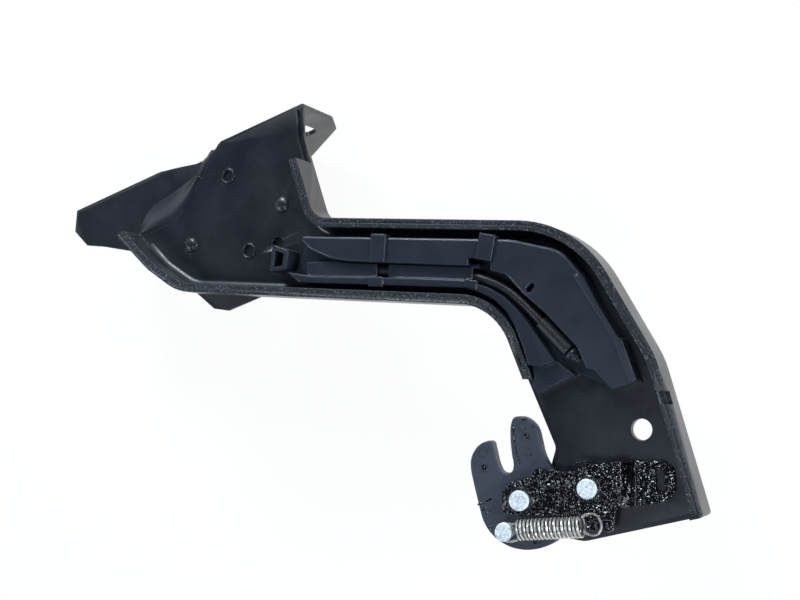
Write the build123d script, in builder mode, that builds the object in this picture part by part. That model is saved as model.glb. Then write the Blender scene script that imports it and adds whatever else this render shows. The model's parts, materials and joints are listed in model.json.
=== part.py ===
"""Sliding door roller guide: a pressed arm with a claw latch at its end and a cable duct in its channel.

The frame is the door's: Y = 0 is the face that bolts to the door, X runs along it and Z stands up from the
arm's web. The origin is midway between the two slots. The arm itself is drawn on a plane turned in this frame.
"""
import os
from math import atan2, cos, degrees, radians, sin, tan

from build123d import *

# Sheet metal: two nested stampings
sheet = 2.0
wall_height = 12.0
web_bend = 3.0
arm_turn = 17.5

# Door flange: the slots' spacing and their distance below the web set the origin
slot_spacing = 100.0
slot_width = 8.5
slot_height = 16.0
slot_to_web = 28.0
flange_end = 65.0
flange_start = -70.0
flange_depth = 64.0
flange_end_depth = 31.0
wing_drop = 2.5
notch_start = -18.0
notch_end = 18.5
notch_depth = 14.0
notch_flare = 4.0

# The cut corners of the door flange's lower edge, each as its width and height
flange_nose = (4.6, 11.6)
flange_tail = (12.0, 16.0)
flange_low_end = 33.0

# The wall inside the bend gets lower towards the claw
taper_start = -5.0
taper_height = 5.0
taper_side = 40.0
taper_width = 26.0

# Where the arm's own drawing starts, seen from the slots' midpoint
arm_origin = (85.0, -102.0)

# End plate
end_hole_radius = 4.25
end_hole = (104.1, -54.4)
mark_radius = 3.2
mark_height = 0.8
raised_marks = [(-58.9, 45.2), (-107.7, 29.4)]
sunk_marks = [(-87.7, 60.5), (-76.0, 25.0)]

# Pins and rollers
pin_radius = 3.0
head_radius = 4.0
head_thick = 1.2
running = 0.05
end_play = 0.3
pivot = (57.0, -82.8)
rivet = (84.7, -77.4)
shoulder_radius = 4.5
bush_wall = 1.5
bush_play = 0.1
hub_radius = 6.0
tyre_radius = 11.0
tyre_rim = 1.0
roller_width = 10.0
washer_thick = 1.2
washer_radius = 5.5

# Claw and the bracket over it
claw_thick = 5.0
claw_lift = 1.0
core_thick = 2.5
jacket_wall = 1.5
spring_post = (51.1, -95.4)
post_radius = 2.5
post_head_radius = 3.5
post_over = 1.2
lug = (87.3, -91.3)
lug_length = 4.0
lug_width = 3.0
lug_over = 2.7
bracket_step = 96.5
bracket_step_run = 4.0
bracket_step_shift = 1.2
tab_slot = (111.7, -74.0)
tab_slot_length = 9.0
tab_slot_width = 3.4

# Spring
coil_radius = 3.8
wire_radius = 0.5
wire_sides = 6
turn_points = 9
eye_points = 14
eye_sweep = 300.0
coils = 16
coil_lift = 0.5
spring_start = (56.3, -95.0)
spring_end = (81.8, -92.9)
hook_play = 0.1

# Duct and cable
floor_thick = 1.5
duct_wall = 1.2
cover_top = 12.0
cover_edge = 1.0
cover_fall = 3.0
cover_hole_length = 4.2
cover_hole_width = 2.2
rib_height = 0.8
rail_top = 9.0
rail_fall = 22.0
foot_top = 4.5
strip_thick = 0.8
keeper_rise = 0.8
strap_thick = 1.2
strap_width = 7.0
strap_hook = 4.0
straps = [("duct_strap_left", (-7.6, 26.3), -4.0, 10.8), ("duct_strap_right", (41.6, 24.0), -12.0, 9.5)]
cable_radius = 2.25
sleeve_radius = 3.5
sleeve_length = 16.2
ferrule_radius = 1.5
ferrule_length = 5.9
buckle_height = 10.0

os.makedirs("parts", exist_ok=True)

turn = radians(arm_turn)
arm = Plane(
    origin=(arm_origin[0], arm_origin[1], slot_to_web),
    x_dir=(cos(turn), -sin(turn), 0),
    z_dir=(0, 0, 1),
)
back_face = -2 * sheet
claw_top = claw_lift + claw_thick
bracket_base = claw_top + claw_lift
bracket_top = bracket_base + sheet
# The spring lies just over the claw, and its post and lug stand past it
spring_height = claw_top + coil_lift + wire_radius + coil_radius
post_height = spring_height - claw_top + post_over
lug_height = spring_height - bracket_top + lug_over


def along_door(x, depth=0.0):
    """A point on the door face at X = x, as the arm's drawing sees it."""
    dx, dy = x - arm_origin[0], -depth - arm_origin[1]
    return (dx * cos(turn) - dy * sin(turn), dx * sin(turn) + dy * cos(turn))


def save(solid, name):
    solid.label = name
    export_step(solid, f"parts/{name}.step")


def outline(points, radii=None, mode=Mode.ADD):
    """A closed outline on the current sketch, with its corners rounded."""
    with BuildLine() as edge:
        if radii:
            FilletPolyline(*points, radius=radii, close=True)
        else:
            Polyline(*points, close=True)
    make_face(edge.edges(), mode=mode)


def disc(radius, base, height, centre, bore=0.0):
    """A round piece standing on the arm, bored through if asked."""
    with BuildPart() as piece:
        with BuildSketch(arm.offset(base)):
            with Locations(centre):
                Circle(radius)
                if bore:
                    Circle(bore, mode=Mode.SUBTRACT)
        extrude(amount=height)
    return piece.part


# The arm's outer edge, clockwise from the corner of web and door flange
arm_points = [
    along_door(flange_end),
    (-49.0, 76.0),
    (-36.0, 36.3),
    (82.4, 27.6),
    (113.0, -26.4),
    (129.9, -86.5),
    (80.0, -99.0),
    (48.0, -94.0),
    (45.0, -80.0),
    (65.9, -71.0),
    (68.6, -62.0),
    (56.9, -34.5),
    (47.6, -4.7),
    (-106.8, 6.6),
    (-123.5, 17.5),
    (-142.0, 34.8),
    (-117.4, 43.2),
    (-107.5, 56.0),
    along_door(notch_end),
]
arm_radii = [1.5, 20, 9, 46, 40, 1.5, 8, 7, 7, 2, 4, 8, 22, 24, 30, 1.0, 12, 20, 6]

# Where the channel has no wall: over the door end, and round the claw
door_opening = [(-28, 65), (-60, 62), (-146, 36.5), (-160, 50), (-160, 130), (-10, 130)]
claw_opening = [(30, -34.5), (72, -34.5), (110, -50), (124.8, -82), (124.2, -110), (20, -110)]
# The gap in the right wall beside the end plate
gap_opening = [(105, -39.5), (130, -39.5), (130, -44.5), (105, -44.5)]

# The wing is the back sheet, pressed down past the web, and its tip shows below the arm
wing_points = [
    along_door(flange_start),
    along_door(notch_start),
    (-119.5, 67.5),
    (-104.5, 69.0),
    (-100.0, 74.5),
    (-88.0, 74.0),
    (-70.0, 40.0),
    (-70.0, 5.2),
    (-90.0, -1.6),
    (-97.4, -0.5),
    (-110.8, 10.0),
    (-128.0, 22.4),
    (-144.0, 28.6),
    (-162.4, 32.0),
    (-171.8, 33.0),
    (-179.4, 40.3),
]
step_points = [(-88, 79), (-103, 68), (-109, 55), (-119, 43.5), (-138, 36), (-105, 11), (-60, 9), (-60, 79)]
# Under the web the wing is cut away, past this line
wing_cut = [(-70, -20), (0, -20), (0, 110), (-70, 110)]

# The door flange in the door's own X and Z
web_z = slot_to_web - sheet
wing_z = web_z - wing_drop
notch_z = slot_to_web - notch_depth
flange_low = slot_to_web - flange_depth
nose_z = slot_to_web - flange_end_depth
flange_points = [
    (flange_start, wing_z),
    (notch_start, wing_z),
    (notch_start + notch_flare, notch_z),
    (notch_end - notch_flare, notch_z),
    (notch_end, web_z),
    (flange_end, web_z),
    (flange_end, nose_z),
    (flange_end - flange_nose[0], nose_z - flange_nose[1]),
    (flange_low_end, flange_low),
    (flange_start + flange_tail[0], flange_low),
    (flange_start, flange_low + flange_tail[1]),
]
flange_radii = [1, 2, 2, 2, 2, 1, 2, 4, 10, 4, 4]


# The slanting cut over the wall inside the bend, seen along the arm's own X
claw_edge = -34.5
taper_plane = Plane(origin=arm.from_local_coords((taper_side, 0, 0)), x_dir=arm.y_dir, z_dir=arm.x_dir)
taper_profile = [
    (taper_start, wall_height),
    (claw_edge, taper_height),
    (claw_edge, 2 * wall_height),
    (taper_start, 2 * wall_height),
]


def channel(base, inset, front):
    """One of the two nested sheets: web below, wall all round, then the openings cut."""
    with BuildPart() as tray:
        with BuildSketch(arm.offset(base)):
            outline(arm_points, arm_radii)
            if inset:
                offset(amount=-inset, mode=Mode.REPLACE)
        extrude(amount=wall_height - base)
        with BuildSketch(arm.offset(base + sheet)):
            outline(arm_points, arm_radii)
            offset(amount=-inset - sheet, mode=Mode.REPLACE)
        extrude(amount=wall_height + 2 * sheet, mode=Mode.SUBTRACT)
        if front:
            floor = tray.faces().filter_by(Axis.Z).sort_by(Axis.Z)[1]
            fillet(floor.outer_wire().edges(), web_bend)
        for opening in (door_opening, claw_opening):
            with BuildSketch(arm.offset(base + sheet)):
                outline(opening)
            extrude(amount=wall_height + 2 * sheet, mode=Mode.SUBTRACT)
        with BuildSketch(arm.offset(wall_height / 2)):
            outline(gap_opening)
        extrude(amount=wall_height, mode=Mode.SUBTRACT)
        with BuildSketch(taper_plane):
            outline(taper_profile)
        extrude(amount=taper_width, mode=Mode.SUBTRACT)
        with BuildSketch(arm.offset(base)):
            with Locations(end_hole):
                Circle(end_hole_radius)
            with Locations(pivot, rivet):
                Circle(pin_radius)
        extrude(amount=sheet, mode=Mode.SUBTRACT)
        if front:
            with BuildSketch(arm.offset(base + sheet)):
                with Locations(*raised_marks):
                    Circle(mark_radius)
            extrude(amount=mark_height)
            with BuildSketch(arm.offset(base + sheet - mark_height)):
                with Locations(*sunk_marks):
                    Circle(mark_radius)
            extrude(amount=mark_height, mode=Mode.SUBTRACT)
    return tray.part


# The back stamping: wing and its step first, then the channel, then the door flange
outer_channel = channel(back_face, 0, False)
with BuildPart() as door_bracket:
    with BuildSketch(arm.offset(back_face - wing_drop)):
        outline(wing_points)
    extrude(amount=sheet)
    with BuildSketch(arm.offset(-sheet)):
        outline(step_points)
    with BuildSketch(arm.offset(-sheet - wing_drop)):
        outline(step_points)
        offset(amount=wing_drop, kind=Kind.INTERSECTION, mode=Mode.REPLACE)
    loft()
    with BuildSketch(arm.offset(back_face)):
        outline(step_points)
    with BuildSketch(arm.offset(back_face - wing_drop)):
        outline(step_points)
        offset(amount=wing_drop, kind=Kind.INTERSECTION, mode=Mode.REPLACE)
    loft(mode=Mode.SUBTRACT)
    with BuildSketch(arm.offset(back_face - wing_drop - sheet)):
        outline(wing_cut)
    extrude(amount=wing_drop + sheet, mode=Mode.SUBTRACT)
    add(outer_channel)
    split(bisect_by=Plane.XZ, keep=Keep.TOP)
    with BuildSketch(Plane.XZ):
        outline(flange_points, flange_radii)
    extrude(amount=sheet)
    with BuildSketch(Plane.XZ):
        with GridLocations(slot_spacing, 0, 2, 1):
            SlotOverall(slot_height, slot_width, rotation=90)
    extrude(amount=sheet, mode=Mode.SUBTRACT)
save(door_bracket.part, "door_bracket")

arm_channel = channel(-sheet, sheet, True)
save(arm_channel, "arm_channel")

# The bracket over the claw: one sheet, stepped down to its slotted tab
bracket_points = [
    (49.0, -79.0),
    (53.2, -75.8),
    (61.0, -73.8),
    (63.4, -70.1),
    (79.0, -71.0),
    (85.2, -67.3),
    (112.1, -66.2),
    (117.4, -70.0),
    (117.3, -79.5),
    (112.0, -82.6),
    (95.6, -85.0),
    (94.5, -93.5),
    (83.5, -93.5),
    (83.5, -88.4),
    (49.0, -88.6),
]
bracket_radii = [3, 2, 2, 2, 3, 3, 3, 3, 3, 3, 1.5, 1.5, 1.5, 1.5, 3]
# The blank that is bent, a sheet's thickness larger than the bracket on every side
blank_start = min(x for x, y in bracket_points) - sheet
blank_end = max(x for x, y in bracket_points) + sheet
blank_side = max(y for x, y in bracket_points) + sheet
blank_width = blank_side - min(y for x, y in bracket_points) + sheet
step_foot = bracket_step + bracket_step_run
step_profile = [
    (blank_start, bracket_base),
    (bracket_step, bracket_base),
    (step_foot, 0),
    (blank_end, 0),
    (blank_end, sheet),
    (step_foot + bracket_step_shift, sheet),
    (bracket_step + bracket_step_shift, bracket_top),
    (blank_start, bracket_top),
]
with BuildPart() as latch_bracket:
    side = Plane(origin=arm.from_local_coords((0, blank_side, 0)), x_dir=arm.x_dir, z_dir=-arm.y_dir)
    with BuildSketch(side):
        outline(step_profile)
    extrude(amount=blank_width)
    with BuildSketch(arm):
        outline(bracket_points, bracket_radii)
    extrude(amount=bracket_top, mode=Mode.INTERSECT)
    with BuildSketch(arm):
        with Locations(pivot, rivet):
            Circle(pin_radius)
        with Locations(tab_slot):
            SlotOverall(tab_slot_length, tab_slot_width, rotation=90)
    extrude(amount=bracket_top, mode=Mode.SUBTRACT)
    with BuildSketch(arm.offset(bracket_top)):
        with Locations(lug):
            Rectangle(lug_length, lug_width)
    extrude(amount=lug_height)
save(latch_bracket.part, "latch_bracket")

# The claw: a steel core inside a moulded jacket, with the striker's mouth between its fingers
claw_points = [
    (52.2, -51.5),
    (53.8, -49.3),
    (58.6, -49.9),
    (62.2, -54.6),
    (64.7, -65.3),
    (71.0, -76.0),
    (73.5, -94.0),
    (66.7, -102.0),
    (49.6, -102.9),
    (40.0, -93.3),
    (34.8, -75.6),
    (34.5, -65.0),
    (40.2, -59.4),
    (42.8, -59.6),
    (45.1, -72.6),
    (53.6, -72.4),
    (51.6, -58.0),
]
claw_radii = [1, 1.5, 3, 6, 10, 6, 8, 6, 8, 8, 10, 5, 3, 1, 3.2, 3.2, 10]
bush_radius = pin_radius + running + bush_wall
core_base = claw_lift + (claw_thick - core_thick) / 2
with BuildPart() as claw_plate:
    with BuildSketch(arm.offset(core_base)):
        outline(claw_points, claw_radii)
        offset(amount=-jacket_wall, mode=Mode.REPLACE)
        with Locations(pivot):
            Circle(bush_radius, mode=Mode.SUBTRACT)
        with Locations(spring_post):
            Circle(post_radius, mode=Mode.SUBTRACT)
    extrude(amount=core_thick)
save(claw_plate.part, "claw_plate")

with BuildPart() as claw_jacket:
    with BuildSketch(arm.offset(claw_lift)):
        outline(claw_points, claw_radii)
        with Locations(pivot):
            Circle(bush_radius, mode=Mode.SUBTRACT)
        with Locations(spring_post):
            Circle(post_radius, mode=Mode.SUBTRACT)
    extrude(amount=claw_thick)
    with BuildSketch(arm.offset(core_base)):
        outline(claw_points, claw_radii)
        offset(amount=-jacket_wall, mode=Mode.REPLACE)
    extrude(amount=core_thick, mode=Mode.SUBTRACT)
save(claw_jacket.part, "claw_jacket")

save(disc(bush_radius, bush_play, bracket_base - 2 * bush_play, pivot, pin_radius + running), "claw_bush")

with BuildPart() as spring_pin:
    add(disc(post_radius, core_base, claw_top + post_height - core_base, spring_post))
    add(disc(post_head_radius, claw_top + post_height, head_thick, spring_post))
save(spring_pin.part, "spring_pin")

# Pins: each clamps the bracket at the front and carries a roller behind the end plate
roller_base = back_face - end_play - roller_width
washer_base = roller_base - end_play - washer_thick
for name, centre in (("pivot_pin", pivot), ("rivet_pin", rivet)):
    with BuildPart() as pin:
        add(disc(pin_radius, washer_base, bracket_top - washer_base, centre))
        add(disc(head_radius, bracket_top, head_thick, centre))
        add(disc(head_radius, washer_base - head_thick, head_thick, centre))
        if centre == rivet:
            add(disc(shoulder_radius, 0, bracket_base, centre))
    save(pin.part, name)

for letter, centre in (("a", pivot), ("b", rivet)):
    save(disc(hub_radius, roller_base, roller_width, centre, pin_radius + running), f"roller_hub_{letter}")
    with BuildPart() as tyre:
        add(disc(tyre_radius, roller_base, roller_width, centre, hub_radius))
        rims = tyre.edges().filter_by(GeomType.CIRCLE).sort_by(lambda rim: rim.radius)[-2:]
        chamfer(rims, tyre_rim)
    save(tyre.part, f"roller_tyre_{letter}")
    save(disc(washer_radius, washer_base, washer_thick, centre, pin_radius), f"roller_washer_{letter}")

# The spring: coils, an eye over the claw's post and an eye over the bracket's lug
coil_start = Vector(*spring_start, spring_height)
coil_end = Vector(*spring_end, spring_height)
coil_axis = coil_end - coil_start
eye_radius = post_radius + hook_play + wire_radius
loop_radius = (lug_length**2 + lug_width**2) ** 0.5 / 2 + hook_play + wire_radius


def hook(centre, radius, first, last):
    """Points round the open eye at one end of the spring, between two angles of the arm's drawing."""
    count = round(eye_points * eye_sweep / 360)
    angles = [radians(first + (last - first) * step / count) for step in range(count + 1)]
    return [Vector(centre[0] + radius * cos(a), centre[1] + radius * sin(a), spring_height) for a in angles]


# One wire: it runs round the post, into the coils and out round the lug
side = degrees(atan2(coil_axis.Y, coil_axis.X)) + 90
sideways = Vector(cos(radians(side)), sin(radians(side)), 0)
coil_points = []
for step in range(coils * turn_points + 1):
    angle = radians(360 * step / turn_points)
    centre = coil_start + coil_axis * (step / (coils * turn_points))
    coil_points.append(centre + (sideways * cos(angle) + Vector(0, 0, 1) * sin(angle)) * coil_radius)
spring_points = hook(spring_post, eye_radius, side + eye_sweep, side)
spring_points += coil_points + hook(lug, loop_radius, side, side - eye_sweep)
with BuildPart() as claw_spring:
    with BuildLine() as spring_line:
        Polyline(*[arm.from_local_coords(point) for point in spring_points])
    with BuildSketch(Plane(origin=spring_line.line @ 0, z_dir=spring_line.line % 0)):
        RegularPolygon(wire_radius, wire_sides)
    sweep(path=spring_line.line, transition=Transition.RIGHT)
save(claw_spring.part, "claw_spring")

# The cable's route, and the duct that holds it
cable_height = floor_thick + end_play + sleeve_radius
cable_points = [(-41, 15.2), (-14, 12.8), (16, 10.8), (36, 8.6), (49.4, 3.4), (57.9, -3.6), (65.7, -11.6)]
last_run = (Vector(*cable_points[-1]) - Vector(*cable_points[-2])).normalized()
sleeve_end = tuple(Vector(*cable_points[-1]) + last_run * sleeve_length)[:2]
ferrule_end = tuple(Vector(*sleeve_end) + last_run * ferrule_length)[:2]


def bend_radii(points):
    """The largest arc that each corner's two runs allow."""
    radii = []
    for before, corner, after in zip(points, points[1:], points[2:]):
        first, second = Vector(*corner) - Vector(*before), Vector(*after) - Vector(*corner)
        shorter = min(first.length, second.length)
        radii.append(0.45 * shorter / tan(radians(first.get_angle(second)) / 2))
    return radii


def rod(start, end, radius, hollow=0.0):
    """A round rod lying over the duct's floor, at the cable's height."""
    first = arm.from_local_coords((*start, cable_height))
    last = arm.from_local_coords((*end, cable_height))
    with BuildPart() as piece:
        with BuildSketch(Plane(origin=first, z_dir=last - first)):
            Circle(radius)
            if hollow:
                Circle(hollow, mode=Mode.SUBTRACT)
        extrude(amount=(last - first).length)
    return piece.part


cable_radii = bend_radii(cable_points)
print("cable bend radii", [round(radius, 1) for radius in cable_radii])
with BuildPart() as cable_tube:
    with BuildLine(arm.offset(cable_height)) as route:
        FilletPolyline(*cable_points, radius=cable_radii)
    with BuildSketch(Plane(origin=route.line @ 0, z_dir=route.line % 0)):
        Circle(cable_radius)
    sweep(path=route.line)
save(cable_tube.part, "cable_tube")
save(rod(cable_points[-1], sleeve_end, sleeve_radius), "cable_sleeve")
save(rod(sleeve_end, ferrule_end, ferrule_radius), "cable_ferrule")

cover_points = [
    (-44.1, 28.7),
    (55.0, 21.9),
    (75.5, 16.6),
    (84.6, 5.5),
    (97.2, -18.4),
    (99.4, -19.0),
    (105.0, -35.7),
    (95.0, -38.6),
    (87.8, -30.8),
    (85.2, -30.7),
    (81.8, -22.3),
    (69.3, -8.8),
    (59.6, -0.4),
    (52.4, 7.6),
    (37.6, 11.9),
    (-20.0, 16.5),
    (-28.2, 18.1),
    (-38.0, 22.5),
]
cover_radii = [1.3, 30, 12, 6, 1.2, 1.2, 1.5, 1.3, 1.2, 1.2, 3, 2, 2, 6, 3, 8, 8, 4]
# The edge past which the cover's top slopes down, and the rib along its outer edge
crease = [(83.5, 5.0), (60.3, -0.9)]
rib_points = [(81.3, 6.0), (83.2, 6.2), (98.6, -19.5), (104.2, -35.6), (102.4, -36.0), (96.6, -19.6)]
# The bay in the cover for the right strap's hooks
bay_points = [(36.2, 15.2), (46.2, 14.2), (45.8, 8.0), (36.0, 9.0)]
cover_hole = (62.9, 1.9)

# The strip over the cable, with a window beside the left strap and a tongue at the right one
strip_points = [
    (-41.0, 11.0),
    (8.5, 8.2),
    (36.6, 6.0),
    (36.8, 11.0),
    (40.1, 11.0),
    (40.1, 12.7),
    (36.6, 12.7),
    (36.3, 11.7),
    (-20.2, 16.0),
    (-28.6, 17.3),
    (-41.0, 17.3),
]
window = [(-7.2, 16.0), (-1.3, 15.6), (-1.5, 8.9), (-6.9, 9.2)]
rail_points = [
    (-50.8, 13.4),
    (-37.9, 11.0),
    (8.5, 8.4),
    (34.2, 6.4),
    (43.8, 3.1),
    (50.2, -0.6),
    (56.0, -6.1),
    (60.9, -12.1),
    (71.3, -27.5),
    (66.0, -29.4),
    (60.7, -28.9),
    (58.6, -21.7),
    (55.3, -13.4),
    (51.6, -7.1),
    (46.6, -2.3),
    (40.0, 1.1),
    (33.3, 3.3),
    (-11.9, 6.4),
    (-44.7, 8.6),
]
# The fold past which the rail's top slopes down to the cable, and the foot at its end
fold = [(63.4, -17.6), (67.1, -28.5)]
foot_points = [(61.0, -28.9), (71.5, -27.4), (79.0, -33.0), (63.4, -40.4), (60.4, -36.6), (61.9, -35.0)]
keepers = [
    [(-10.9, 9.6), (-3.6, 9.3), (-3.8, 5.0), (-10.4, 5.4)],
    [(33.7, 6.9), (39.4, 6.0), (38.6, 2.2), (34.0, 3.6)],
]
tray_points = cover_points[:8] + [
    (80.3, -32.6),
    (63.4, -40.4),
    (60.4, -36.6),
    (62.0, -34.9),
    (64.5, -34.3),
    (62.9, -28.9),
    (60.6, -21.7),
    (59.2, -16.8),
    (55.2, -8.6),
    (50.0, -2.9),
    (43.6, 1.2),
    (33.3, 3.8),
    (-11.9, 7.0),
    (-44.7, 9.4),
    (-50.8, 13.4),
]


def slope(line, height, fall):
    """The plane through a line of the arm's drawing that falls away on the line's left."""
    first, last = Vector(*line[0]), Vector(*line[1])
    along = (last - first).normalized()
    tilt = radians(fall)
    normal = Vector(along.Y * -sin(tilt), along.X * sin(tilt), cos(tilt))
    origin = arm.from_local_coords((first.X, first.Y, height))
    return Plane(origin=origin, z_dir=arm.from_local_coords(normal) - arm.origin)


with BuildPart() as duct_tray:
    with BuildSketch(arm):
        outline(tray_points)
    extrude(amount=floor_thick)
save(duct_tray.part, "duct_tray")

# The cover: a thin shell whose outer edge is rounded, with its top sloped down past the crease
with BuildPart() as cover_core:
    with BuildSketch(arm.offset(floor_thick)):
        outline(cover_points)
        offset(amount=-duct_wall, kind=Kind.INTERSECTION, mode=Mode.REPLACE)
    extrude(amount=cover_top - floor_thick - duct_wall)
    split(bisect_by=slope(crease, cover_top - duct_wall, cover_fall), keep=Keep.BOTTOM)
with BuildPart() as cover_rib:
    with BuildSketch(arm.offset(floor_thick)):
        outline(rib_points)
    extrude(amount=cover_top + rib_height - floor_thick)
    split(bisect_by=slope(crease, cover_top + rib_height, cover_fall), keep=Keep.BOTTOM)
with BuildPart() as duct_cover:
    with BuildSketch(arm.offset(floor_thick)):
        outline(cover_points, cover_radii)
    extrude(amount=cover_top - floor_thick)
    fillet(duct_cover.faces().sort_by(Axis.Z)[-1].edges(), cover_edge)
    split(bisect_by=slope(crease, cover_top, cover_fall), keep=Keep.BOTTOM)
    add(cover_rib.part)
    add(cover_core.part, mode=Mode.SUBTRACT)
    with BuildSketch(arm.offset(floor_thick)):
        outline(bay_points)
        with Locations(Location((*cover_hole, 0), (0, 0, 45))):
            SlotOverall(cover_hole_length, cover_hole_width)
    extrude(amount=cover_top, mode=Mode.SUBTRACT)
save(duct_cover.part, "duct_cover")

# The rail: a flat-topped bar with a foot, keepers for the straps and a strip over the cable
strip_base = cable_height + cable_radius + hook_play
with BuildPart() as duct_rail:
    with BuildSketch(arm.offset(floor_thick)):
        outline(rail_points)
    extrude(amount=rail_top - floor_thick)
    split(bisect_by=slope(fold, rail_top, rail_fall), keep=Keep.BOTTOM)
    with BuildSketch(arm.offset(floor_thick)):
        outline(foot_points)
    extrude(amount=foot_top - floor_thick)
    with BuildSketch(arm.offset(strip_base)):
        outline(strip_points)
        outline(window, mode=Mode.SUBTRACT)
    extrude(amount=strip_thick)
    for keeper in keepers:
        with BuildSketch(arm.offset(strip_base)):
            outline(keeper)
        extrude(amount=rail_top + keeper_rise - strip_base)
save(duct_rail.part, "duct_rail")

# Straps over the cover, each hooked behind its outer edge
strap_top = cover_top + strap_thick
for name, start, lean, length in straps:
    strap_profile = [
        (0, cover_top - strap_hook),
        (0, cover_top),
        (-length, cover_top),
        (-length, strap_top),
        (strap_thick, strap_top),
        (strap_thick, cover_top - strap_hook),
    ]
    lie = radians(lean)
    across = arm.x_dir * cos(lie) + arm.y_dir * sin(lie)
    down = arm.y_dir * cos(lie) - arm.x_dir * sin(lie)
    with BuildPart() as strap:
        with BuildSketch(Plane(origin=arm.from_local_coords((*start, 0)), x_dir=down, z_dir=across)):
            outline(strap_profile)
        extrude(amount=strap_width)
    save(strap.part, name)

buckle_points = [(-57.4, 25.9), (-49.6, 22.9), (-50.7, 14.6), (-59.2, 13.7)]
window_points = [(-56.4, 23.2), (-51.9, 21.6), (-52.6, 16.2), (-57.3, 15.7)]
with BuildPart() as buckle_clip:
    with BuildSketch(arm):
        outline(buckle_points, [1, 1, 1, 1])
        outline(window_points, mode=Mode.SUBTRACT)
    extrude(amount=buckle_height)
save(buckle_clip.part, "buckle_clip")
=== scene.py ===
# %% [markdown]
# # A sliding door's guide arm
#
# This lesson dresses a pressed steel arm from the side door of a van. One end bolts to the door. The other
# end carries a claw that a coil spring pulls shut, and a plastic duct lies in the arm's channel.
# The sizes are already fixed by a solid model, which loads here as a frame. Values are in metres. The
# arm's own drawing is in millimetres, and so is every size that is divided by 1000 where it is used.

# %% Load the frame
import json
from math import cos, pi, radians, sin

import bmesh
import bpy
from mathutils import Matrix, Vector


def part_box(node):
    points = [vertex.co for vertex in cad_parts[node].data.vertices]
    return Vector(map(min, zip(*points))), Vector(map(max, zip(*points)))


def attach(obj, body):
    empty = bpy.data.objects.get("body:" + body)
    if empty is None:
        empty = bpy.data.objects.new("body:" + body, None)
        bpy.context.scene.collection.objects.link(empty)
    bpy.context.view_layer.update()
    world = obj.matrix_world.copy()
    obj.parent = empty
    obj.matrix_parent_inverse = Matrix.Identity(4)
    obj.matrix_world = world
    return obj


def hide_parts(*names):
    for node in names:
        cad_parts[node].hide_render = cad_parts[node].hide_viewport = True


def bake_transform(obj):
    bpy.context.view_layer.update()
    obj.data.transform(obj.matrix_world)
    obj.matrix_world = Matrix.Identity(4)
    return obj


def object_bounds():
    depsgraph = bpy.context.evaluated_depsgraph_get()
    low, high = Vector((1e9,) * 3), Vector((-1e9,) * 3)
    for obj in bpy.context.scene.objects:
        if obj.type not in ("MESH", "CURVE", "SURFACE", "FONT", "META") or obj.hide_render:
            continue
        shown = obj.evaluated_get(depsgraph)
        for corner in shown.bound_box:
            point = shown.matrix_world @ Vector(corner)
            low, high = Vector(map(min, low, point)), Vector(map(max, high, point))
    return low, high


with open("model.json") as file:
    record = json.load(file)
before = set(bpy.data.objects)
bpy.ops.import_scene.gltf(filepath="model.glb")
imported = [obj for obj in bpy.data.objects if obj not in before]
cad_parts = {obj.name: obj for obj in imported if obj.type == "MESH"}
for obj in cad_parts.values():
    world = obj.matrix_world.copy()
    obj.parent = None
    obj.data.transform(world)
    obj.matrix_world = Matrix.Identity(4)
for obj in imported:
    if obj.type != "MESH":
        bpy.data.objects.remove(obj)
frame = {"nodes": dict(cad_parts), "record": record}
cad_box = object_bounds()
nodes = frame["nodes"]
print("nodes", len(nodes), "box", [[round(v, 4) for v in corner] for corner in cad_box])

# %% [markdown]
# ## The camera
#
# The photograph was taken from almost straight above the arm's web, a little to the right of it, with a
# lens of medium length. A camera can be aimed with a constraint, but a matrix of three directions and one
# place says exactly which way is right, up and back, and that is what a measured view gives.

# %% Place the camera
camera_right = Vector((0.8656, -0.2729, -0.4198))
camera_up = Vector((0.3317, 0.9406, 0.0724))
camera_back = Vector((0.3751, -0.2020, 0.9047))
camera_place = Vector((0.2864, -0.2105, 0.5138))
lens = 56.25
sensor_width = 36.0

camera_data = bpy.data.cameras.new("camera")
camera_data.lens = lens
camera_data.sensor_width = sensor_width
camera = bpy.data.objects.new("camera", camera_data)
turned = Matrix((camera_right, camera_up, camera_back)).transposed().to_4x4()
camera.matrix_world = Matrix.Translation(camera_place) @ turned
bpy.context.scene.collection.objects.link(camera)
bpy.context.scene.camera = camera
bpy.context.scene.view_settings.view_transform = "Standard"
print("camera", [round(v, 3) for v in camera_place], "lens", lens, "mm")

# %% [markdown]
# ## Small helpers for node trees
#
# Every finish below is a handful of shader nodes. Short helpers keep each finish readable: they add a node
# and set its values, start a material, make a pattern on the surface, and turn a pattern into a colour, a
# gloss or a bump.

# %% Start a node and a material
def add_node(tree, kind, **values):
    """Adds a shader node. A name with a capital letter is an input, any other is a property."""
    node = tree.nodes.new(kind)
    for name, value in values.items():
        if name[0].isupper():
            node.inputs[name.replace("_", " ")].default_value = value
        else:
            setattr(node, name, value)
    return node


def new_material(name, colour, roughness, metallic=0.0, **shader_values):
    """A Principled material, with its tree and its shader node."""
    material = bpy.data.materials.new(name)
    material.use_nodes = True
    material.diffuse_color = (*colour, 1)
    shader = material.node_tree.nodes["Principled BSDF"]
    shader.inputs["Base Color"].default_value = (*colour, 1)
    shader.inputs["Roughness"].default_value = roughness
    shader.inputs["Metallic"].default_value = metallic
    for socket, value in shader_values.items():
        shader.inputs[socket.replace("_", " ")].default_value = value
    return material, material.node_tree, shader


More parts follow.
